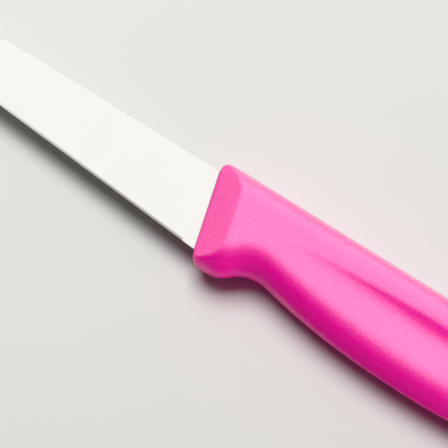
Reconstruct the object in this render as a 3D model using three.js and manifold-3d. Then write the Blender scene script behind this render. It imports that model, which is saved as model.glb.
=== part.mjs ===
// A fruit knife lying on its side: a stamped steel blade whose hidden tang is moulded
// into a one-piece plastic handle. Millimetres.
// +X runs from the tip to the butt, +Y from the cutting edge to the back, +Z up.
// While it is drawn, x = 0 and y = 0 is where the spine meets the handle's front,
// and z = 0 is the blade's mid-plane.
import * as THREE from 'three';
import { mergeVertices } from 'three/addons/utils/BufferGeometryUtils.js';
import Module from 'manifold-3d';

const wasm = await Module();
wasm.setup();

// Blade outline
const bladeLength = 80; // along the spine, from the handle to the tip
const heelHeight = 17.35; // spine to edge, square across from the handle's front
const pointLength = 28.5; // the stretch where spine and edge curve to the tip
const pointHeight = 13.05; // spine to edge where that stretch begins
const tipDrop = 5.5; // the tip lies this far below the spine's line
const tipWidth = 0.3; // the tip is not quite a needle
const spineCurl = 1.5; // exponent of the spine's fall towards the tip
const edgeCurl = 2; // exponent of the edge's rise towards the tip

// Blade thickness
const spineThickness = 1.2; // at the handle
const pointThickness = 0.84; // of the spine where the point begins
const edgeThickness = 0.3; // just behind the cutting bevel, at the heel
const edgeLand = 0.06; // left at the very edge
const cuttingBevel = 0.5; // width of the sharpened strip
const bevelStop = 2.7; // the sharpened strip ends this far in front of the handle
const bevelRunOut = 1; // and fades over this length

// Tang, hidden in the handle
const heelInset = 5; // the full blade height runs on this far into the handle
const tangEnd = 68; // distance behind the handle's front
const tangHeight = 9.5;
const tangDrop = 4.5; // below the spine's line
const tangCorner = 3;
const keyHoleCount = 3;
const keyHoleDiameter = 4.6;
const keyHolePitch = 17;
const keyHoleEndMargin = 7.5; // last hole's centre to the tang's end
const mouldClearance = 0.3; // between the steel and the plastic around it

// Handle outline, seen from the side
const handleLength = 110;
const backRise = 2.34; // the back stands this far above the spine
const frontRake = THREE.MathUtils.degToRad(17.6); // the front leans, its lower end to the rear
const rakeFade = 40; // section lines square up over this length
const frontCorner = 2.1; // corner radius between front and back
const guardCorner = 1.6; // corner radius between front and guard
const guardAt = 9.75; // places along the belly, behind the handle's front
const hollowAt = 20.9;
const swellAt = 62;
const waistAt = 89;
const buttAt = 101;
const guardDepth = 22.85; // depths there, from back to belly
const hollowDepth = 18.55;
const swellDepth = 22.7;
const waistDepth = 21.1;
const buttDepth = 22.3;
const backStraight = 80; // the back is straight this far, then falls a little
const backFall = 1.3;
const buttSquareness = 2.6; // 2 is an elliptic end, more is squarer

// Handle section
const handleThickness = 12.4;
const noseThickness = 2.8; // the handle's front edge, round the blade
const noseBevel = 6.25; // length of the slope from there to full thickness
const backRound = 6.14; // how far the back's rounding reaches down the side
const guardRound = 5.85; // the belly's rounding at the guard
const bellyRound = 5.35; // and behind it
const grooveStart = 22; // a groove opens along the side from here
const grooveFull = 62; // to here
const grooveFade = 84; // and fades from here to the butt
const grooveDepth = 1.6; // where it is fully open
const narrowLand = 0.8; // flat strip between the back's rounding and the groove there
const wideLand = 3.2; // and where the groove starts
const wideFall = 3.6; // width of the groove's steep wall there
const narrowFall = 1.5; // and where it starts
const grooveLip = 0.3; // share of that wall which rounds over its upper edge
const scoopTilt = THREE.MathUtils.degToRad(7); // below the wall the side leans out again
const fullest = 0.97; // of the depth that roundings, land and wall may take

// Fineness
const arcSteps = 8;
const grooveSteps = 6;
const sideSteps = 3;
const frontSteps = 5;
const gripStep = 1.3;
const bodyStep = 2.7;
const buttSteps = 9;
const pointSteps = 16;
const runOutSteps = 4;

const { smoothstep, clamp, lerp } = THREE.MathUtils;
const frontLean = Math.tan(frontRake);

// A closed skin over a row of rings that all have the same number of points, with flat ends.
function skin(rings) {
  const count = rings[0].length;
  const points = rings.flat();
  const faces = [];
  for (let r = 0; r + 1 < rings.length; r += 1) {
    for (let i = 0; i < count; i += 1) {
      const next = (i + 1) % count;
      const a = r * count + i;
      const b = r * count + next;
      faces.push(a, b, a + count, b, b + count, a + count);
    }
  }
  const ends = [0, (rings.length - 1) * count];
  ends.forEach((start, side) => {
    const ring = points.slice(start, start + count);
    const middle = ring.reduce((sum, p) => sum.add(p), new THREE.Vector3()).divideScalar(count);
    const hub = points.push(middle) - 1;
    for (let i = 0; i < count; i += 1) {
      const a = start + i;
      const b = start + ((i + 1) % count);
      faces.push(...(side ? [a, b, hub] : [b, a, hub]));
    }
  });
  return new THREE.BufferGeometry().setFromPoints(points).setIndex(faces);
}

// A closed geometry as a solid that can be joined and cut.
function solid(geometry) {
  const bare = geometry.clone();
  bare.deleteAttribute('normal');
  bare.deleteAttribute('uv');
  const merged = mergeVertices(bare, 1e-4);
  return new wasm.Manifold(new wasm.Mesh({
    numProp: 3,
    vertProperties: merged.attributes.position.array,
    triVerts: new Uint32Array(merged.index.array),
  }));
}

// And back again, with flat shaded faces.
function geometryOf(shape) {
  const mesh = shape.getMesh();
  const geometry = new THREE.BufferGeometry();
  geometry.setAttribute('position', new THREE.BufferAttribute(mesh.vertProperties, 3));
  geometry.setIndex(new THREE.BufferAttribute(mesh.triVerts, 1));
  const flat = geometry.toNonIndexed();
  flat.computeVertexNormals();
  return flat;
}

// Blade

const straightLength = bladeLength - pointLength;
const edgeSlope = (heelHeight - pointHeight) / straightLength;
const edgeRise = heelHeight - edgeSlope * bladeLength - tipDrop;
const distalSlope = (spineThickness - pointThickness) / 2 / straightLength;
const grindSlope = (spineThickness - edgeThickness) / 2 / heelHeight;
const heelLine = frontLean * heelHeight; // where the edge meets the handle
const heelEnd = heelLine + heelInset;
const bareEnd = -mouldClearance; // the sides are bare to here from spine to edge

const pointShare = (x) => clamp((-straightLength - x) / pointLength, 0, 1);
const spineY = (x) => -tipDrop * pointShare(x) ** spineCurl;
const edgeY = (x) => edgeRise * pointShare(x) ** edgeCurl - heelHeight - edgeSlope * x;
// Each side of the blade is one flat plane, so spine and edge both thin towards the tip.
const sideZ = (x, y) => spineThickness / 2 + distalSlope * x + grindSlope * y;

function bladeRing(x, grow) {
  const tip = (tipWidth / 2) * pointShare(x) ** 8;
  const top = spineY(x) + tip + grow;
  const bottom = edgeY(x) - tip - grow;
  const shoulder = bottom + Math.min(cuttingBevel, (top - bottom) * 0.45);
  const blunt = smoothstep(x, heelLine - bevelStop - bevelRunOut, heelLine - bevelStop);
  const sharp = lerp(edgeLand / 2, sideZ(x, bottom), blunt);
  const half = [
    [top, sideZ(x, top) + grow],
    [shoulder, sideZ(x, shoulder) + grow],
    [bottom, sharp + grow],
  ];
  const upper = half.map(([y, z]) => new THREE.Vector3(x, y, z));
  const lower = half.map(([y, z]) => new THREE.Vector3(x, y, -z)).reverse();
  return [...upper, ...lower];
}

function tangSolid(grow) {
  const top = grow - tangDrop;
  const bottom = -tangDrop - tangHeight - grow;
  const end = tangEnd + grow;
  const start = heelEnd - heelInset / 2;
  const corner = tangCorner + grow;
  const thickness = spineThickness + 2 * grow;
  const outline = new THREE.Shape();
  outline.moveTo(start, bottom);
  outline.lineTo(end - corner, bottom);
  outline.absarc(end - corner, bottom + corner, corner, -Math.PI / 2, 0);
  outline.absarc(end - corner, top - corner, corner, 0, Math.PI / 2);
  outline.lineTo(start, top);
  const plate = new THREE.ExtrudeGeometry(outline, {
    depth: thickness,
    bevelEnabled: false,
    curveSegments: arcSteps,
  });
  let tang = solid(plate.translate(0, 0, -thickness / 2));
  for (let i = 0; i < keyHoleCount; i += 1) {
    const radius = keyHoleDiameter / 2 - grow;
    const hole = new THREE.CylinderGeometry(radius, radius, 2 * thickness, 3 * arcSteps);
    hole.rotateX(Math.PI / 2);
    hole.translate(tangEnd - keyHoleEndMargin - i * keyHolePitch, -tangDrop - tangHeight / 2, 0);
    tang = tang.subtract(solid(hole));
  }
  return tang;
}

// The whole blade with its tang, or a thicker one to cut the room that it needs.
function bladeSolid(grow) {
  const places = [];
  for (let i = 0; i < pointSteps; i += 1) {
    const q = 1 - Math.sin((i / pointSteps) * Math.PI / 2);
    places.push(-straightLength - pointLength * q);
  }
  places.push(-straightLength, bareEnd);
  for (let i = 0; i <= runOutSteps; i += 1) {
    places.push(heelLine - bevelStop - bevelRunOut * (1 - i / runOutSteps));
  }
  places.push(heelEnd + grow);
  const rings = places.map((x) => bladeRing(x, grow));
  return solid(skin(rings)).add(tangSolid(grow));
}

// Handle

// A smooth line through points where it runs level; each stretch says how long it keeps
// level when it leaves its first point and arrives at its second.
function levelLine(points, reach) {
  const stretches = points.slice(1).map((to, i) => {
    const from = points[i];
    const span = to.x - from.x;
    return new THREE.CubicBezierCurve(
      from,
      new THREE.Vector2(from.x + span * reach[i][0], from.y),
      new THREE.Vector2(to.x - span * reach[i][1], to.y),
      to,
    );
  });
  return (x) => {
    const place = clamp(x, points[0].x, points.at(-1).x);
    const stretch = stretches.find((c) => place <= c.v3.x);
    let low = 0;
    let high = 1;
    for (let i = 0; i < 40; i += 1) {
      const t = (low + high) / 2;
      if (stretch.getPoint(t).x < place) low = t;
      else high = t;
    }
    return stretch.getPoint(low).y;
  };
}

const v2 = (x, y) => new THREE.Vector2(x, y);
const backLine = levelLine(
  [v2(backStraight, backRise), v2(buttAt, backRise - backFall)],
  [[0.6, 0.4]],
);
const bellyLine = levelLine(
  [
    v2(guardAt, backRise - guardDepth),
    v2(hollowAt, backRise - hollowDepth),
    v2(swellAt, backRise - swellDepth),
    v2(waistAt, backRise - waistDepth),
    v2(buttAt, backRise - buttDepth),
  ],
  [[0.56, 0.64], [0.075, 0.67], [0.5, 0.5], [0.5, 0.5]],
);
const bellyRoundLine = levelLine([v2(guardAt, guardRound), v2(hollowAt, bellyRound)], [[0.5, 0.5]]);
const landLine = levelLine([v2(grooveStart, wideLand), v2(grooveFull, narrowLand)], [[0.05, 0.7]]);
const growthLine = levelLine([v2(grooveStart, 0), v2(grooveFull, 1)], [[0.1, 0.25]]);
const scoopLine = levelLine([v2(0, 0), v2(1, 1)], [[0.25, 0.2]]);

// Section lines lean with the front and square up further back.
const leanAt = (s) => frontLean * (1 - smoothstep(s, 0, rakeFade));

// Where a leaning section line at s crosses an outline.
function crossing(line, s) {
  let y = 0;
  for (let i = 0; i < 60; i += 1) y = line(s - leanAt(s) * y);
  return y;
}

// How far a rounded corner draws the outline in, at a distance from the front.
const cornerCut = (s, radius) => {
  const inside = clamp(radius - s, 0, radius);
  return radius - Math.sqrt(radius ** 2 - inside ** 2);
};

// The groove's wall: it rounds over its upper edge, then falls ever less and runs out level.
const wallFall = (q) => (
  q < grooveLip ? q ** 2 / grooveLip : 1 - (1 - q) ** 2 / (1 - grooveLip)
);

// Distance from the back and half thickness, from the back's edge to the belly's.
function halfSection(s, depth) {
  const growth = growthLine(s);
  const fade = 1 - smoothstep(s, grooveFade, buttAt);
  const opened = Math.sqrt(growth) * fade;
  const wanted = [backRound, landLine(s), lerp(narrowFall, wideFall, opened), bellyRoundLine(s)];
  const room = Math.min(1, (fullest * depth) / wanted.reduce((sum, size) => sum + size));
  const [back, land, wall, belly] = wanted.map((size) => size * room);
  const full = handleThickness / 2;
  const floor = full - grooveDepth * growth * fade;
  const crease = back + land;
  const side = depth - crease - wall - belly;
  const crest = Math.min(full, floor + Math.tan(scoopTilt) * opened * side);
  const section = [];
  for (let i = 0; i <= arcSteps; i += 1) {
    const angle = (i / arcSteps) * Math.PI / 2;
    section.push([back * (1 - Math.cos(angle)), full * Math.sin(angle)]);
  }
  for (let i = 0; i <= grooveSteps; i += 1) {
    const q = i / grooveSteps;
    section.push([crease + wall * q, lerp(full, floor, wallFall(q))]);
  }
  for (let i = 1; i < sideSteps; i += 1) {
    const q = i / sideSteps;
    section.push([crease + wall + side * q, lerp(floor, crest, scoopLine(q))]);
  }
  for (let i = 0; i <= arcSteps; i += 1) {
    const angle = (i / arcSteps) * Math.PI / 2;
    section.push([depth - belly * (1 - Math.sin(angle)), crest * Math.cos(angle)]);
  }
  return section;
}

// One ring of the handle; shrink closes it towards the middle of the butt.
function handleRing(s, x, shrink) {
  const corner = Math.max(s, 0);
  const top = crossing(backLine, s) - cornerCut(corner, frontCorner);
  const bottom = crossing(bellyLine, s) + cornerCut(corner, guardCorner);
  const middle = (top + bottom) / 2;
  const half = halfSection(corner, top - bottom).map(([down, z]) => {
    const y = middle + (top - down - middle) * shrink;
    return new THREE.Vector3(x - leanAt(s) * y, y, z * shrink);
  });
  const lower = half.slice(1, -1).reverse();
  return [...half, ...lower.map((p) => new THREE.Vector3(p.x, p.y, -p.z))];
}

function handleLoft() {
  const rings = [handleRing(-frontCorner, -frontCorner, 1)];
  const grip = Math.max(frontCorner, guardCorner);
  for (let i = 0; i < frontSteps; i += 1) {
    const s = grip * (1 - Math.cos((i / frontSteps) * Math.PI / 2));
    rings.push(handleRing(s, s, 1));
  }
  const stretch = (from, to, step) => {
    const count = Math.ceil((to - from) / step);
    for (let i = 0; i < count; i += 1) {
      const s = from + ((to - from) * i) / count;
      rings.push(handleRing(s, s, 1));
    }
  };
  stretch(grip, grooveStart, gripStep);
  stretch(grooveStart, buttAt, bodyStep);
  for (let i = 0; i < buttSteps; i += 1) {
    const angle = (i / buttSteps) * Math.PI / 2;
    const x = buttAt + (handleLength - buttAt) * Math.sin(angle) ** (2 / buttSquareness);
    rings.push(handleRing(buttAt, x, Math.cos(angle) ** (2 / buttSquareness)));
  }
  rings.push(handleRing(buttAt, handleLength, 0.08));
  return skin(rings);
}

// Everything behind the raked front and inside its two sloping cheeks.
function nosePrism() {
  const far = 2 * handleLength;
  const slope = (handleThickness - noseThickness) / 2 / noseBevel;
  const run = 2 * noseBevel;
  const wide = noseThickness / 2 + slope * run;
  const outline = new THREE.Shape([
    v2(0, -noseThickness / 2),
    v2(run, -wide),
    v2(far, -wide),
    v2(far, wide),
    v2(run, wide),
    v2(0, noseThickness / 2),
  ]);
  const prism = new THREE.ExtrudeGeometry(outline, { depth: far, bevelEnabled: false });
  prism.translate(0, 0, -far / 2);
  const inwards = new THREE.Vector3(Math.cos(frontRake), Math.sin(frontRake), 0);
  const along = new THREE.Vector3(Math.sin(frontRake), -Math.cos(frontRake), 0);
  const turn = new THREE.Matrix4().makeBasis(inwards, new THREE.Vector3(0, 0, 1), along);
  return prism.applyMatrix4(turn);
}

const blade = new THREE.Mesh(
  geometryOf(bladeSolid(0)),
  new THREE.MeshStandardMaterial({ color: 0xdcdbd8, metalness: 1, roughness: 0.3 }),
);
blade.name = 'blade';

const handle = new THREE.Mesh(
  geometryOf(solid(handleLoft()).intersect(solid(nosePrism())).subtract(bladeSolid(mouldClearance))),
  new THREE.MeshStandardMaterial({ color: 0xf707a0, metalness: 0, roughness: 0.45 }),
);
handle.name = 'handle';

// The knife lies on the handle's flat side, with the origin under its middle.
const laid = new THREE.Group();
laid.add(blade, handle);
const box = new THREE.Box3().setFromObject(laid);
const middle = box.getCenter(new THREE.Vector3());
laid.position.set(-middle.x, -middle.y, -box.min.z);

const knife = new THREE.Group();
knife.add(laid);

export default knife;
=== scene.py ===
import math

import bmesh
import bpy
from mathutils import Matrix, Vector


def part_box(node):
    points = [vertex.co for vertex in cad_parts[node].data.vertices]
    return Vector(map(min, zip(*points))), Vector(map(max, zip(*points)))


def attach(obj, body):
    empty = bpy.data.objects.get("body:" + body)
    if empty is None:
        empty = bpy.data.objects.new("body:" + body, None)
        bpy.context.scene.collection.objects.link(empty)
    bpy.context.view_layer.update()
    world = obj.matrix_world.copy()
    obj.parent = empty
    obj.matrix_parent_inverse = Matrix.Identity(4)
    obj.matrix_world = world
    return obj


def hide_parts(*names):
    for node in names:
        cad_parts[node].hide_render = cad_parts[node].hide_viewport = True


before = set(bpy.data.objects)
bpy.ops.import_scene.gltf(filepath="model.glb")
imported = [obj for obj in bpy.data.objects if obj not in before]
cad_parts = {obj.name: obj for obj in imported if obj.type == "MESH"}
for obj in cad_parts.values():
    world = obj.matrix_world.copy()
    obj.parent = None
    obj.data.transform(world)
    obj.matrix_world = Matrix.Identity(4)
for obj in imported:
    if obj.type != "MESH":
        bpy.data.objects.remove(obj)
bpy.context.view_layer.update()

scene = bpy.context.scene
mm = 0.001
quarterTurn = math.pi / 2


# A socket of a node tree: arithmetic on it adds Math nodes, and add() makes any other node
class Wire:
    def __init__(self, tree, socket=None):
        self.tree = tree
        self.socket = socket

    def add(self, kind, settings=None, inputs=None, out=0):
        node = self.tree.nodes.new(kind)
        for name, value in (settings or {}).items():
            setattr(node, name, value)
        for key, given in (inputs or {}).items():
            for value in given if isinstance(given, list) else [given]:  # a list joins several links
                if isinstance(value, Wire):
                    self.tree.links.new(value.socket, node.inputs[key])
                else:
                    node.inputs[key].default_value = value
        return Wire(self.tree, node.outputs[out] if node.outputs else None)

    # another output of the same node
    def also(self, name):
        return Wire(self.tree, self.socket.node.outputs[name])

    def math(self, operation, *others):
        return self.add("ShaderNodeMath", {"operation": operation}, dict(enumerate([self, *others])))

    def __add__(self, other):
        return self.math("ADD", other)

    def __sub__(self, other):
        return self.math("SUBTRACT", other)

    def __rsub__(self, other):
        return self.add("ShaderNodeMath", {"operation": "SUBTRACT"}, {0: other, 1: self})

    def __mul__(self, other):
        return self.math("MULTIPLY", other)

    def __truediv__(self, other):
        return self.math("DIVIDE", other)

    def __rtruediv__(self, other):
        return self.add("ShaderNodeMath", {"operation": "DIVIDE"}, {0: other, 1: self})

    def __pow__(self, other):
        return self.math("POWER", other)

    def __neg__(self):
        return self * -1.0

    def __lt__(self, other):
        return self.math("LESS_THAN", other)

    __radd__ = __add__
    __rmul__ = __mul__

    def low(self, other):
        return self.math("MINIMUM", other)

    def high(self, other):
        return self.math("MAXIMUM", other)

    # 0 at start, 1 at end, clamped
    def between(self, start, end, kind="LINEAR"):
        return self.add("ShaderNodeMapRange", {"interpolation_type": kind}, {0: self, 1: start, 2: end})

    # this socket is the share of the second colour
    def mixColors(self, first, second):
        return self.add("ShaderNodeMix", {"data_type": "RGBA"}, {0: self, 6: first, 7: second}, out=2)

    def vector(self, x, y, z):
        return self.add("ShaderNodeCombineXYZ", inputs={0: x, 1: y, 2: z})

    # this socket is a place
    def scaled(self, x, y, z):
        return self.add("ShaderNodeMapping", inputs={"Vector": self, "Scale": (x, y, z)})

    def noise(self, scale, detail):
        return self.add("ShaderNodeTexNoise", inputs={"Vector": self, "Scale": scale, "Detail": detail})

    # a pattern's swing about its middle
    def swing(self, amount):
        return (self - 0.5) * amount

    # this socket is a height
    def bump(self, relief):
        return self.add("ShaderNodeBump", inputs={"Strength": 1.0, "Distance": relief, "Height": self})


# What blade and handle share, in millimetres
# x = 0 and y = 0 where the spine meets the handle's front, z = 0 on the mid-plane
knifePlan = {
    "bladeLength": 80.0,
    "heelHeight": 17.35,
    "spineThickness": 1.2,
    "backRise": 2.34,  # the handle's back over the spine
    "frontRake": math.radians(17.6),
}

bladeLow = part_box("blade")[0]
handleLow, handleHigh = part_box("handle")
drawnOrigin = Vector((
    bladeLow.x + knifePlan["bladeLength"] * mm,
    handleHigh.y - knifePlan["backRise"] * mm,
    (handleLow.z + handleHigh.z) / 2,
))


# Camera at the photograph's angle, in degrees and metres
view = {
    "azimuth": 34.43,
    "elevation": 65.0,
    "distance": 1.4,
    "across": 94.16,  # the picture's width at the aim, in millimetres
    "aim": (0.715, -11.1),  # millimetres right of and above the spine's end at the handle
    "sensor": 36.0,  # millimetres
    "clipEnd": 20.0,
}


def viewAxes():
    a = math.radians(view["azimuth"])
    e = math.radians(view["elevation"])
    right = Vector((math.cos(a), math.sin(a), 0))
    back = Vector((math.sin(a) * math.cos(e), -math.cos(a) * math.cos(e), math.sin(e)))
    return right, back.cross(right), back


def makeCamera():
    right, up, back = viewAxes()
    spineEnd = drawnOrigin + Vector((0, 0, knifePlan["spineThickness"] / 2 * mm))
    aim = spineEnd + (right * view["aim"][0] + up * view["aim"][1]) * mm
    data = bpy.data.cameras.new("camera")
    data.sensor_width = view["sensor"]
    data.lens = view["sensor"] * view["distance"] / (view["across"] * mm)
    data.clip_end = view["clipEnd"]
    camera = bpy.data.objects.new("camera", data)
    turn = Matrix((right, up, back)).transposed().to_4x4()
    camera.matrix_world = Matrix.Translation(aim + back * view["distance"]) @ turn
    scene.collection.objects.link(camera)
    scene.camera = camera


makeCamera()
print("camera set")


# Materials, in metres

def newMaterial(name):
    material = bpy.data.materials.new(name)
    material.use_nodes = True
    material.node_tree.nodes.clear()
    return material, Wire(material.node_tree)


def finishSurface(tree, inputs):
    shader = tree.add("ShaderNodeBsdfPrincipled", inputs=inputs)
    tree.add("ShaderNodeOutputMaterial", inputs={"Surface": shader})


steelLook = {
    "color": (0.565, 0.555, 0.535),
    "roughness": 0.3,
    "lines": 5200.0,  # grinding lines per metre along the blade
    "lineStretch": 60.0,  # each line's length over its width
    "lineDetail": 4.0,
    "lineRelief": 0.0000006,
    "lineRoughness": 0.07,
    "bevelColor": (0.5, 0.485, 0.46),
    "bevelRoughness": 0.24,
    "honeStretch": 40.0,  # the same for the honing lines along the cutting bevel
    "honeDetail": 3.0,
    "cloud": 90.0,  # soft patches per metre
    "cloudDetail": 3.0,
    "cloudRoughness": 0.04,
    # the colour of the painted shade along the line where the steel meets the plastic
    "junctionShadeColor": (0.26, 0.1, 0.19),
    "junctionShade": (0.00014, 0.0003),  # distances from the plastic: painted shade, dark up to the first, gone by the second
}


def groundSteel():
    look = steelLook
    material, tree = newMaterial("groundSteel")
    place = tree.add("ShaderNodeTexCoord", out="Object")
    bevel = tree.add("ShaderNodeAttribute", {"attribute_name": "bevel"}, out="Fac")
    lines = look["lines"]
    groundLong = lines / look["lineStretch"]
    honedLong = lines / look["honeStretch"]
    ground = place.scaled(lines, groundLong, groundLong).noise(1.0, look["lineDetail"])
    honed = place.scaled(honedLong, lines, lines).noise(1.0, look["honeDetail"])
    cloud = place.noise(look["cloud"], look["cloudDetail"])
    height = ground * (1 - bevel) + honed * bevel
    rough = look["roughness"] * (1 - bevel) + look["bevelRoughness"] * bevel
    rough = rough + height.swing(look["lineRoughness"]) + cloud.swing(look["cloudRoughness"])
    color = bevel.mixColors((*look["color"], 1), (*look["bevelColor"], 1))

    # painted shade: a dark pinkish line on the steel where it meets the plastic, by the distance ahead of
    # the raked front
    here = tree.add("ShaderNodeSeparateXYZ", inputs={0: place})
    rake = knifePlan["frontRake"]
    ahead = (drawnOrigin.x - here) * math.cos(rake) + (drawnOrigin.y - here.also("Y")) * math.sin(rake)
    color = ahead.between(*look["junctionShade"]).mixColors((*look["junctionShadeColor"], 1), color)

    finishSurface(tree, {
        "Base Color": color,
        "Metallic": 1.0,
        "Roughness": rough,
        "Normal": height.bump(look["lineRelief"]),
    })
    return material


plasticLook = {
    "color": (0.935, 0.001, 0.338),
    "deepColor": (0.9, 0.001, 0.325),
    "deepPatches": (0.35, 0.7),  # cloud levels where the deeper colour starts and is full
    "roughness": 0.2,
    "rubbedRoughness": 0.19,
    "ior": 1.5,
    "specular": 0.5,
    "grain": 3600.0,  # sparks per metre of the eroded mould
    "grainDetail": 2.0,
    "grainShare": 0.6,
    "grainRelief": 0.0001,
    "grainRoughness": 0.1,
    "pits": 2880.0,  # per metre too
    "pitSoftness": 0.6,
    "pitShare": 0.5,
    "cloud": 220.0,  # soft patches per metre
    "cloudDetail": 3.0,
    "cloudRoughness": 0.06,
}


def mouldedPlastic():
    look = plasticLook
    material, tree = newMaterial("mouldedPlastic")
    place = tree.add("ShaderNodeTexCoord", out="Object")
    rub = tree.add("ShaderNodeAttribute", {"attribute_name": "rub"}, out="Fac")
    fine = place.noise(look["grain"], look["grainDetail"])
    pits = tree.add(
        "ShaderNodeTexVoronoi",
        {"feature": "SMOOTH_F1"},
        {"Vector": place, "Scale": look["pits"], "Smoothness": look["pitSoftness"]},
    )
    cloud = place.noise(look["cloud"], look["cloudDetail"])
    height = fine * look["grainShare"] + pits * look["pitShare"]
    rough = look["roughness"] + (look["rubbedRoughness"] - look["roughness"]) * rub
    rough = rough + cloud.swing(look["cloudRoughness"]) + fine.swing(look["grainRoughness"])
    color = cloud.between(*look["deepPatches"]).mixColors((*look["color"], 1), (*look["deepColor"], 1))
    finishSurface(tree, {
        "Base Color": color,
        "Roughness": rough,
        "IOR": look["ior"],
        "Specular IOR Level": look["specular"],
        "Normal": height.bump(look["grainRelief"]),
    })
    return material


steel = groundSteel()
plastic = mouldedPlastic()
print("materials made")


# Blade: strips between rule lines from the spine round to the edge, closed, with the keyed tang
bladePlan = {
    "sizes": {  # millimetres, each an input of the rule
        "length": knifePlan["bladeLength"],
        "heelHeight": knifePlan["heelHeight"],
        "pointLength": 28.5,
        "pointHeight": 13.05,
        "tipDrop": 5.5,
        "tipRound": 0.35,
        "spineThickness": knifePlan["spineThickness"],
        "pointThickness": 0.84,
        "edgeThickness": 0.3,
        "edgeLand": 0.06,
        "spineRound": 0.08,
        "cuttingBevel": 0.42,
        "bevelStop": 2.7,
        "bevelRunOut": 1.0,
        "heelLine": knifePlan["heelHeight"] * math.tan(knifePlan["frontRake"]),  # the bare edge's end
        "heelInset": 5.0,
        "tangEnd": 68.0,
        "tangHeight": 9.5,
        "tangDrop": 4.5,
        "tangCorner": 3.0,
        "holeDiameter": 4.6,
        "holePitch": 17.0,
        "holeEndMargin": 7.5,
        "grow": 0.0,  # swells the steel all round, for the pocket that it leaves in the plastic
    },
    "counts": {"columns": 240, "tangColumns": 60, "holes": 3, "holeSides": 32},  # inputs too
    "rows": {"spine": 2, "corner": 8, "side": 16, "bevel": 2, "edge": 1, "tangRim": 1, "tangSide": 8},
    "curls": {"spine": 1.5, "edge": 2.0, "columns": 1.6},  # powers of the lines' bends and of the spacing
    "mostBevel": 0.45,  # shares of the height that is left near the tip
    "mostCorner": 0.3,
    "punchDepth": 3.0,  # times the spine's thickness
    "weld": 1e-7,  # metres
    "sharpAngle": 5.0,  # degrees
}


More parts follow.
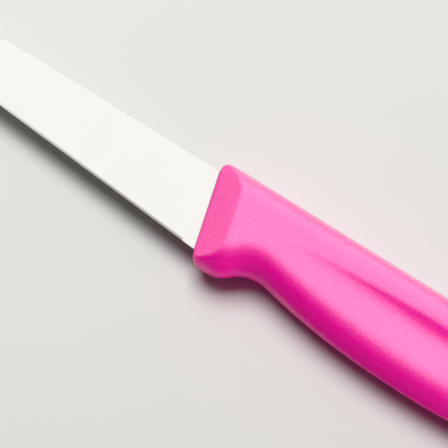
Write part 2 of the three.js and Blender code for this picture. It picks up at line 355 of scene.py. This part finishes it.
def bladeRule():
    tree = bpy.data.node_groups.new("bladeRule", "GeometryNodeTree")
    for name in bladePlan["sizes"]:
        tree.interface.new_socket(name, in_out="INPUT", socket_type="NodeSocketFloat")
    for name in bladePlan["counts"]:
        tree.interface.new_socket(name, in_out="INPUT", socket_type="NodeSocketInt")
    tree.interface.new_socket("blade", in_out="OUTPUT", socket_type="NodeSocketGeometry")
    base = Wire(tree)
    given = base.add("NodeGroupInput")
    size = {name: given.also(name) for name in [*bladePlan["sizes"], *bladePlan["counts"]]}
    rows = bladePlan["rows"]
    curls = bladePlan["curls"]
    place = base.add("GeometryNodeInputPosition")
    here = base.add("ShaderNodeSeparateXYZ", inputs={0: place})
    u = here + 0.5  # each strip starts as a unit grid about the origin
    v = here.also("Y") + 0.5

    straight = size["length"] - size["pointLength"]
    edgeSlope = (size["heelHeight"] - size["pointHeight"]) / straight
    edgeRise = size["heelHeight"] - edgeSlope * size["length"] - size["tipDrop"]
    distalSlope = (size["spineThickness"] - size["pointThickness"]) / 2 / straight
    grindSlope = (size["spineThickness"] - size["edgeThickness"]) / 2 / size["heelHeight"]
    heelEnd = size["heelLine"] + size["heelInset"] + size["grow"]

    def pointShare(x):
        return x.between(-straight, -size["length"])

    def spineLine(x):
        return size["grow"] - size["tipDrop"] * pointShare(x) ** curls["spine"]

    def edgeLine(x):
        rise = edgeRise * pointShare(x) ** curls["edge"]
        return rise - size["heelHeight"] - edgeSlope * x - size["grow"]

    def shoulderLine(x):
        low = edgeLine(x)
        return low + size["cuttingBevel"].low((spineLine(x) - low) * bladePlan["mostBevel"])

    def sideAt(x, y):
        return size["spineThickness"] / 2 + distalSlope * x + grindSlope * y + size["grow"]

    # 0 where the edge is sharpened, 1 at the heel
    def bluntness(x):
        stop = size["heelLine"] - size["bevelStop"]
        return x.between(stop - size["bevelRunOut"], stop, "SMOOTHSTEP")

    def strip(columns, count, x, y, z):
        grid = base.add(
            "GeometryNodeMeshGrid",
            inputs={"Size X": 1.0, "Size Y": 1.0, "Vertices X": columns + 1, "Vertices Y": count + 1},
        )
        return base.add("GeometryNodeSetPosition", inputs={0: grid, "Position": base.vector(x, y, z)})

    def ruled(columns, count, x, share, start, end):
        y = start[0] + (end[0] - start[0]) * v
        z = (start[1] + (end[1] - start[1]) * v) * share
        return strip(columns, count, x, y, z)

    def bothSides(strips):
        half = base.add("GeometryNodeJoinGeometry", inputs={0: strips})
        upper = base.add("GeometryNodeFlipFaces", inputs={0: half})
        under = base.add("ShaderNodeVectorMath", {"operation": "MULTIPLY"}, {0: place, 1: (1, 1, -1)})
        lower = base.add("GeometryNodeSetPosition", inputs={0: half, "Position": under})
        whole = base.add("GeometryNodeJoinGeometry", inputs={0: [upper, lower]})
        return base.add("GeometryNodeMergeByDistance", inputs={0: whole, "Distance": bladePlan["weld"]})

    # the last two columns share the heel's end, and the last one closes on the mid-plane
    columns = size["columns"]
    run = (u * columns / (columns - 1)).low(1.0)
    x = (heelEnd + size["length"]) * run ** curls["columns"] - size["length"]
    tip = (x + size["length"]).between(0.0, size["tipRound"])
    share = (tip * (2 - tip)) ** 0.5 * (u < 1 - 0.5 / columns)
    spine = spineLine(x)
    edge = edgeLine(x)
    shoulder = shoulderLine(x)
    corner = size["spineRound"].low((spine - edge) * bladePlan["mostCorner"])
    cornerZ = sideAt(x, spine - corner)
    sharp = size["edgeLand"] / 2 + size["grow"]
    sharp = sharp + (sideAt(x, edge) - sharp) * bluntness(x)
    angle = v * quarterTurn
    roundY = spine - corner + corner * angle.math("COSINE")
    roundZ = (cornerZ - corner + corner * angle.math("SINE")) * share
    cornerEnd = (spine - corner, cornerZ)
    shoulderEnd = (shoulder, sideAt(x, shoulder))
    shell = bothSides([
        ruled(columns, rows["spine"], x, share, (spine, 0.0), (spine, cornerZ - corner)),
        strip(columns, rows["corner"], x, roundY, roundZ),
        ruled(columns, rows["side"], x, share, cornerEnd, shoulderEnd),
        ruled(columns, rows["bevel"], x, share, shoulderEnd, (edge, sharp)),
        ruled(columns, rows["edge"], x, share, (edge, sharp), (edge, 0.0)),
    ])

    # tang: a plate of the stock's thickness with a rounded end, its first and last columns closed
    tangColumns = size["tangColumns"]
    tangStart = heelEnd - size["heelInset"] / 2
    tangEnd = size["tangEnd"] + size["grow"]
    tangRun = ((u * tangColumns - 1) / (tangColumns - 2)).high(0.0).low(1.0)
    tangX = tangStart + (tangEnd - tangStart) * (tangRun * quarterTurn).math("SINE")
    inside = (tangX - tangEnd + size["tangCorner"]).high(0.0)
    cut = size["tangCorner"] - (size["tangCorner"] ** 2.0 - inside ** 2.0).high(0.0) ** 0.5
    tangTop = size["grow"] - size["tangDrop"] - cut
    tangLow = cut - size["tangDrop"] - size["tangHeight"] - size["grow"]
    half = size["spineThickness"] / 2 + size["grow"]
    tangShare = (u < 1 - 0.5 / tangColumns) * (1 - (u < 0.5 / tangColumns))
    plate = bothSides([
        ruled(tangColumns, rows["tangRim"], tangX, tangShare, (tangTop, 0.0), (tangTop, half)),
        ruled(tangColumns, rows["tangSide"], tangX, tangShare, (tangTop, half), (tangLow, half)),
        ruled(tangColumns, rows["tangRim"], tangX, tangShare, (tangLow, half), (tangLow, 0.0)),
    ])

    # keying holes repeat along the tang
    lastHole = base.vector(
        size["tangEnd"] - size["holeEndMargin"],
        -size["tangDrop"] - size["tangHeight"] / 2,
        0.0,
    )
    row = base.add(
        "GeometryNodeMeshLine",
        inputs={
            "Count": size["holes"],
            "Start Location": lastHole,
            "Offset": base.vector(-size["holePitch"], 0.0, 0.0),
        },
    )
    punch = base.add(
        "GeometryNodeMeshCylinder",
        inputs={
            "Vertices": size["holeSides"],
            "Radius": size["holeDiameter"] / 2 - size["grow"],
            "Depth": size["spineThickness"] * bladePlan["punchDepth"],
        },
    )
    punches = base.add("GeometryNodeInstanceOnPoints", inputs={"Points": row, "Instance": punch})
    punches = base.add("GeometryNodeRealizeInstances", inputs={0: punches})
    keyed = base.add(
        "GeometryNodeMeshBoolean",
        {"operation": "DIFFERENCE", "solver": "EXACT"},
        {"Mesh 1": plate, "Mesh 2": punches},
    )
    joined = base.add(
        "GeometryNodeMeshBoolean",
        {"operation": "UNION", "solver": "EXACT"},
        {"Mesh 2": [shell, keyed]},
    )

    # faces of the sharpened strip are marked for the finish
    onBevel = (here.also("Y") < shoulderLine(here)) * (1 - bluntness(here)) * (here < size["heelLine"])
    marked = base.add(
        "GeometryNodeStoreNamedAttribute",
        {"data_type": "FLOAT", "domain": "FACE"},
        {0: joined, "Name": "bevel", "Value": onBevel},
    )
    moved = base.add("GeometryNodeTransform", inputs={0: marked, "Translation": tuple(drawnOrigin)})
    real = base.add("GeometryNodeRealizeInstances", inputs={0: moved})
    dressed = base.add("GeometryNodeSetMaterial", inputs={0: real, "Material": steel})
    base.add("NodeGroupOutput", inputs={0: dressed})
    return tree


def plainMesh(source, name):
    graph = bpy.context.evaluated_depsgraph_get()
    mesh = bpy.data.meshes.new_from_object(source.evaluated_get(graph))
    mesh.name = name
    return mesh


def makeBlade(tree, name, grow):
    made = bpy.data.objects.new(name, bpy.data.meshes.new(name))
    scene.collection.objects.link(made)
    rule = made.modifiers.new("rule", "NODES")
    rule.node_group = tree
    sockets = {item.name: item.identifier for item in tree.interface.items_tree if item.in_out == "INPUT"}
    for key, value in {**bladePlan["sizes"], "grow": grow}.items():
        rule[sockets[key]] = value * mm
    for key, value in bladePlan["counts"].items():
        rule[sockets[key]] = value
    mesh = plainMesh(made, name)
    made.modifiers.remove(rule)
    made.data = mesh
    return made


def smoothFaces(mesh, sharpAngle):
    mesh.polygons.foreach_set("use_smooth", [True] * len(mesh.polygons))
    mesh.set_sharp_from_angle(angle=math.radians(sharpAngle))


bladeTree = bladeRule()
blade = makeBlade(bladeTree, "groundBlade", 0.0)
smoothFaces(blade.data, bladePlan["sharpAngle"])
print("blade made,", len(blade.data.polygons), "faces")


# Handle, in millimetres: rings that lean with the raked front, drawn in by the sloping nose
# s runs back from the front, and a reach says for what shares of its run a line stays level
handlePlan = {
    "length": 110.0,
    "thickness": 12.4,
    "rakeFade": 40.0,
    "frontCorner": 2.1,
    "guardCorner": 1.6,
    "belly": [(9.75, 22.85), (20.9, 18.55), (62.0, 22.7), (89.0, 21.1)],  # guard, hollow, swell and waist
    "bellyReach": [(0.56, 0.64), (0.075, 0.67), (0.5, 0.5), (0.5, 0.5)],
    "backStraight": 80.0,
    "backFall": 1.3,
    "backReach": (0.6, 0.4),
    "buttAt": 101.0,
    "buttDepth": 22.3,
    "buttSquareness": 2.6,
    "noseThickness": 2.8,
    "noseBevel": 6.25,
    "noseRound": 0.45,
    "crestSoftness": 0.6,
    "endSoftness": 2.4,  # more at the crest's two ends, on the roundings
    "backRound": 6.14,
    "bellyRound": (5.3, 5.35),  # at the guard, and from the finger hollow on
    "bellyRoundReach": (0.5, 0.5),
    "grooveStart": 22.0,
    "grooveFull": 62.0,
    "grooveFade": 84.0,
    "grooveGrowth": (0.1, 0.25),
    "grooveDepth": 1.65,
    "grooveLip": 0.27,  # share of the wall's width
    "land": (3.2, 1.0),  # strip between the back's rounding and the groove, start and full
    "landReach": (0.05, 0.7),
    "landTilt": math.radians(8.0),  # lean of that strip where it reaches the groove
    "wall": (1.5, 4.4),  # width of the groove's steep wall, start and full
    "wallGather": 1.5,  # draws the wall's points towards its lip
    "scoopTilt": math.radians(7.0),  # below the wall the side leans out again
    "scoopReach": (0.25, 0.2),
    "mouldClearance": 0.03,  # between the steel and the plastic moulded round it
    "arcSteps": 26,
    "wallSteps": 14,
    "sideSteps": 14,
    "curveSteps": 40,
    "crossingSteps": 60,
    "cornerRings": 18,
    "buttRings": 30,
    "ringSpacing": [(9.0, 0.14), (26.0, 0.35)],  # up to this place, a ring at each step
    "rearSpacing": 0.8,
    "sharpAngle": 32.0,  # degrees
}
frontLean = math.tan(knifePlan["frontRake"])


def smoothStep(value, start, end):
    t = min(max((value - start) / (end - start), 0.0), 1.0)
    return t * t * (3 - 2 * t)


def bezier(t, a, b, c, d):
    return (1 - t) ** 3 * a + 3 * (1 - t) ** 2 * t * b + 3 * (1 - t) * t * t * c + t ** 3 * d


# a line that runs level at each of its points
def levelLine(points, reaches):
    def height(x):
        x = min(max(x, points[0][0]), points[-1][0])
        index = next(i for i in range(len(reaches)) if x <= points[i + 1][0])
        (startX, startY), (endX, endY) = points[index], points[index + 1]
        leave = startX + (endX - startX) * reaches[index][0]
        arrive = endX - (endX - startX) * reaches[index][1]
        low, high = 0.0, 1.0
        for step in range(handlePlan["curveSteps"]):
            t = (low + high) / 2
            if bezier(t, startX, leave, arrive, endX) < x:
                low = t
            else:
                high = t
        return bezier(low, startY, startY, endY, endY)

    return height


def handleLines():
    h = handlePlan
    rise = knifePlan["backRise"]
    belly = [*h["belly"], (h["buttAt"], h["buttDepth"])]
    guard, hollow = belly[0][0], belly[1][0]
    groove = h["grooveStart"], h["grooveFull"]

    def run(places, heights, reach):
        return levelLine(list(zip(places, heights)), [reach])

    return {
        "back": run((h["backStraight"], h["buttAt"]), (rise, rise - h["backFall"]), h["backReach"]),
        "belly": levelLine([(place, rise - depth) for place, depth in belly], h["bellyReach"]),
        "bellyRound": run((guard, hollow), h["bellyRound"], h["bellyRoundReach"]),
        "land": run(groove, h["land"], h["landReach"]),
        "growth": run(groove, (0.0, 1.0), h["grooveGrowth"]),
        "scoop": run((0.0, 1.0), (0.0, 1.0), h["scoopReach"]),
    }


handleLine = handleLines()


def leanAt(s):
    return frontLean * (1 - smoothStep(s, 0, handlePlan["rakeFade"]))


# height at which the leaning ring at s meets a line
def crossing(line, s):
    y = 0.0
    for step in range(handlePlan["crossingSteps"]):
        y = line(s - leanAt(s) * y)
    return y


def cornerCut(s, radius):
    inside = min(max(radius - s, 0.0), radius)
    return radius - math.sqrt(radius ** 2 - inside ** 2)


# the groove's wall: a small rounded lip, then a hollow that runs out level
def wallFall(q):
    lip = handlePlan["grooveLip"]
    return q * q / lip if q < lip else 1 - (1 - q) ** 2 / (1 - lip)


# distance from the back, half thickness and how far the place sticks out to be rubbed
def halfSection(s, depth):
    h = handlePlan
    full = h["thickness"] / 2
    growth = handleLine["growth"](s)
    fade = 1 - smoothStep(s, h["grooveFade"], h["buttAt"])
    opened = math.sqrt(growth) * fade
    narrow, wide = h["wall"]
    wall = narrow + (wide - narrow) * opened
    back, belly = h["backRound"], handleLine["bellyRound"](s)
    crease = back + handleLine["land"](s)
    side = depth - crease - wall - belly
    groove = h["grooveDepth"] * growth * fade
    scoop = min(groove, math.tan(h["scoopTilt"]) * opened * side)
    crest = full - groove + scoop
    landSlope = math.tan(h["landTilt"]) * growth * fade
    landFall = landSlope * (crease - back) / 2
    wallLean = landSlope * wall / 2
    wallDepth = groove - landFall - wallLean
    arc, walls, sides = h["arcSteps"], h["wallSteps"], h["sideSteps"]
    section = []
    for i in range(arc + 1):
        angle = i / arc * quarterTurn
        section.append((back * (1 - math.cos(angle)), full * math.sin(angle), 0.0))
    for i in range(1, sides + 1):
        q = i / sides
        section.append((back + (crease - back) * q, full - landFall * q * q, 0.0))
    for i in range(1, walls + 1):
        q = (i / walls) ** h["wallGather"]
        rub = growth * fade * max(0.0, 1 - abs(q / h["grooveLip"] - 0.5))
        fall = landFall + wallLean * q * (2 - q) + wallDepth * wallFall(q)
        section.append((crease + wall * q, full - fall, rub))
    for i in range(1, sides):
        q = i / sides
        section.append((crease + wall + side * q, full - groove + scoop * handleLine["scoop"](q), 0.0))
    for i in range(arc + 1):
        angle = i / arc * quarterTurn
        section.append((depth - belly * (1 - math.sin(angle)), crest * math.cos(angle), 0.0))
    return section


# half thickness left by the sloping nose, with a small round at its front edge
def noseHalf(x, y):
    h = handlePlan
    slope = (h["thickness"] - h["noseThickness"]) / 2 / h["noseBevel"]
    behind = max((x + frontLean * y) * math.cos(knifePlan["frontRake"]), 0.0)
    return h["noseThickness"] / 2 + slope * behind - cornerCut(behind, h["noseRound"])


# the lower of two heights, rounded where they meet, and how near to the meeting
def softLow(a, b, softness):
    near = max(softness - abs(a - b), 0.0) / softness
    return min(a, b) - near * near * softness / 4, near


def handleRing(s, x, shrink):
    h = handlePlan
    top = crossing(handleLine["back"], s) - cornerCut(s, h["frontCorner"])
    bottom = crossing(handleLine["belly"], s) + cornerCut(s, h["guardCorner"])
    middle = (top + bottom) / 2
    points = []
    for down, z, rub in halfSection(s, top - bottom):
        y = middle + (top - down - middle) * shrink
        px = x - leanAt(s) * y
        soft = h["crestSoftness"] + h["endSoftness"] * (1 - z / (h["thickness"] / 2))
        half, crest = softLow(z, noseHalf(px, y), soft)
        points.append((px, y, max(half, 0.0) * shrink, max(rub, crest)))
    return points


def handleRings():
    h = handlePlan
    corner = max(h["frontCorner"], h["guardCorner"])
    count = h["cornerRings"]
    places = [corner * (1 - math.cos(i / count * quarterTurn)) for i in range(count)]
    start = corner
    for end, step in [*h["ringSpacing"], (h["buttAt"], h["rearSpacing"])]:
        count = math.ceil((end - start) / step)
        places += [start + (end - start) * i / count for i in range(count)]
        start = end
    rings = [handleRing(s, s, 1.0) for s in places]
    power = 2 / h["buttSquareness"]
    for i in range(h["buttRings"]):
        angle = i / h["buttRings"] * quarterTurn
        x = h["buttAt"] + (h["length"] - h["buttAt"]) * math.sin(angle) ** power
        rings.append(handleRing(h["buttAt"], x, math.cos(angle) ** power))
    return rings


def handleMesh():
    rings = handleRings()
    mesh = bpy.data.meshes.new("handleLoft")
    build = bmesh.new()
    rubLayer = build.verts.layers.float.new("rub")

    def vertex(x, y, z, rub):
        made = build.verts.new(drawnOrigin + Vector((x, y, z)) * mm)
        made[rubLayer] = rub
        return made

    loops = []
    for points in rings:
        upper = [vertex(*p) for p in points]
        lower = [vertex(x, y, -z, rub) for x, y, z, rub in points[1:-1]]
        loops.append(upper + lower[::-1])
    count = len(loops[0])
    for near, far in zip(loops, loops[1:]):
        for i in range(count):
            j = (i + 1) % count
            build.faces.new((near[i], near[j], far[j], far[i]))
    hub = vertex(handlePlan["length"], sum(p[1] for p in rings[-1]) / len(rings[-1]), 0.0, 0.0)
    for i in range(count):
        build.faces.new((loops[-1][i], loops[-1][(i + 1) % count], hub))

    # the front land, closed across its thickness, with a triangle at each end
    front = loops[0]
    for i in range(count // 2):
        a, b = front[i], front[i + 1]
        c, d = front[(count - i - 1) % count], front[(count - i) % count]
        build.faces.new(list(dict.fromkeys((b, a, d, c))))
    bmesh.ops.recalc_face_normals(build, faces=build.faces)
    build.to_mesh(mesh)
    build.free()
    return mesh


def cutPocket(holder, cutter):
    cut = holder.modifiers.new("pocket", "BOOLEAN")
    cut.operation = "DIFFERENCE"
    cut.solver = "EXACT"
    cut.object = cutter
    mesh = plainMesh(holder, "mouldedHandle")
    holder.modifiers.remove(cut)
    holder.data = mesh
    bpy.data.objects.remove(cutter)


handle = bpy.data.objects.new("mouldedHandle", handleMesh())
scene.collection.objects.link(handle)
cutPocket(handle, makeBlade(bladeTree, "pocketCutter", handlePlan["mouldClearance"]))
handle.data.materials.clear()
handle.data.materials.append(plastic)
smoothFaces(handle.data, handlePlan["sharpAngle"])
print("handle made,", len(handle.data.polygons), "faces")


# Floor, light and background, in metres

floorColor = (0.85, 0.845, 0.818)
middle = (0.0, 0.0, 0.0)
# place, what it faces, width and height, level, and what it falls on
lights = {
    "key": ((-0.25, 0.225, 0.85), middle, (0.62, 0.55), 2.4, ["handle", "floor"]),
    "floorKey": ((-0.245, 0.22, 0.84), middle, (0.62, 0.55), 4.9, ["floor"]),
    "side": ((-0.9, 0.2, 0.3), middle, (1.1, 0.6), 3.35, ["handle"]),
    "window": ((-0.2, 0.68, 0.48), middle, (1.4, 0.83), 0.36, ["handle", "floor"]),
    "fill": ((0.8, -0.1, 0.7), middle, (0.8, 0.6), 5.0, ["handle"]),
    "bounce": ((0.1, -0.44, 0.08), middle, (1.4, 0.16), 1.3, ["handle"]),
    "backTop": ((0.1, 0.55, 0.6), middle, (1.2, 0.5), 0.34, ["handle"]),
    "floorGlow": ((0.05, -0.062, 0.0006), (0.05, -0.062, 1.0), (0.35, 0.1), 0.5, ["handle"]),
}
# panels that show in gloss alone, the steel's held back so that it does not burn out
sheens = {
    "sideSheen": ((-0.87, 0.19, 0.29), middle, (1.1, 0.6), 1.95, ["handle"]),
    "floorSheen": ((0.05, 0.07, 0.0005), (0.05, 0.07, 1.0), (0.35, 0.1), 1.5, ["handle"]),
    "bladeSheen": ((-0.1, 0.45, 0.8), middle, (1.5, 0.84), 0.92, ["blade"]),
    "flagSheen": ((0.0, -0.47, 0.25), middle, (2.2, 0.45), 0.6, ["blade"]),
}
# strips in the handle's gloss, on an arc from overhead down to the back, in degrees
fan = {
    "across": 0.15,
    "radius": 0.85,
    "width": 2.2,
    "start": -7.5,
    "step": 15.0,
    "levels": [3.7, 5.2, 5.5, 6.6, 5.8, 6.0, 3.4],
}
backdrop = {
    "fill": 0.055,  # the room's light on the knife, while gloss and the camera see it at 1
    "roughness": 0.9,
    "floorReach": 3.0,
    "floorDrop": 0.00002,  # keeps the floor just clear of the cheek that rests on it
    "flagPlace": -0.5,
    "flagSize": (4.4, 0.45),
    "flagFoot": 0.01,
    "flagColor": (0.01, 0.01, 0.01),
    "cardStart": -0.0132,  # a dark card on the floor runs from here to the flag, seen in gloss alone
    "cardLeft": (-0.45, 0.003),  # its left side slants clear of the guard's front
    "cardLift": 0.0004,
}


def stagePlate(name, corners, material):
    mesh = bpy.data.meshes.new(name)
    mesh.from_pydata(corners, [], [(0, 1, 2, 3)])
    mesh.materials.append(material)
    made = bpy.data.objects.new(name, mesh)
    scene.collection.objects.link(made)
    return made


def matte(name, color):
    material, tree = newMaterial(name)
    finishSurface(tree, {
        "Base Color": (*color, 1),
        "Roughness": backdrop["roughness"],
        "Specular IOR Level": 0.0,
    })
    return material


def makeStage():
    reach, level = backdrop["floorReach"], -backdrop["floorDrop"]
    floor = stagePlate(
        "floor",
        [(-reach, -reach, level), (reach, -reach, level), (reach, reach, level), (-reach, reach, level)],
        matte("paleFloor", floorColor),
    )
    width, top = backdrop["flagSize"]
    left, right = -width / 2, width / 2
    near, far = backdrop["cardStart"], backdrop["flagPlace"]
    foot, lift = backdrop["flagFoot"], backdrop["cardLift"]
    dark = matte("darkFlag", backdrop["flagColor"])
    flag = stagePlate(
        "flag",
        [(left, far, foot), (right, far, foot), (right, far, top), (left, far, top)],
        dark,
    )
    farLeft, nearLeft = backdrop["cardLeft"]
    card = stagePlate(
        "card",
        [(farLeft, far, lift), (right, far, lift), (right, near, lift), (nearLeft, near, lift)],
        dark,
    )
    floor.visible_diffuse = False  # the bounce and floorGlow lamps give its soft light instead
    flag.visible_camera = False
    card.visible_camera = False
    card.visible_diffuse = False
    card.visible_shadow = False
    return floor


def makeSoftbox(name, place, aim, size, level, lit, isSheen):
    data = bpy.data.lights.new(name, "AREA")
    data.shape = "RECTANGLE"
    data.size, data.size_y = size
    data.energy = level * math.pi * size[0] * size[1]
    lamp = bpy.data.objects.new(name, data)
    lamp.location = place
    lamp.rotation_mode = "QUATERNION"
    lamp.rotation_quaternion = (Vector(aim) - lamp.location).to_track_quat("-Z", "Y")
    lamp.visible_camera = False
    lamp.visible_diffuse = not isSheen
    lamp.visible_glossy = isSheen
    scene.collection.objects.link(lamp)
    receivers = bpy.data.collections.new(name + "Receivers")
    for piece in lit:
        receivers.objects.link(piece)
    lamp.light_linking.receiver_collection = receivers


def makeFan():
    across, radius = fan["across"], fan["radius"]
    size = (fan["width"], radius * math.radians(fan["step"]))
    for i, level in enumerate(fan["levels"]):
        angle = math.radians(fan["start"] + fan["step"] * i)
        place = (across, radius * math.sin(angle), radius * math.cos(angle))
        makeSoftbox(f"fan{i}", place, (across, 0.0, 0.0), size, level, [handle], True)


def makeWorld():
    world = bpy.data.worlds.new("paleRoom")
    scene.world = world
    world.use_nodes = True
    world.node_tree.nodes.clear()
    tree = Wire(world.node_tree)
    ray = tree.add("ShaderNodeLightPath", out="Is Camera Ray")
    seen = ray.high(ray.also("Is Glossy Ray")).high(ray.also("Is Transmission Ray"))
    strength = backdrop["fill"] + (1 - backdrop["fill"]) * seen
    background = tree.add("ShaderNodeBackground", inputs={"Color": (*floorColor, 1), "Strength": strength})
    tree.add("ShaderNodeOutputWorld", inputs={"Surface": background})


standing = {"handle": handle, "blade": blade, "floor": makeStage()}
for name, (place, aim, size, level, lit) in {**lights, **sheens}.items():
    makeSoftbox(name, place, aim, size, level, [standing[piece] for piece in lit], name in sheens)
makeFan()
makeWorld()
scene.view_settings.view_transform = "Standard"
print("stage and lights set")

for piece, node in [(blade, "blade"), (handle, "handle")]:
    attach(piece, "root")
    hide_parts(node)
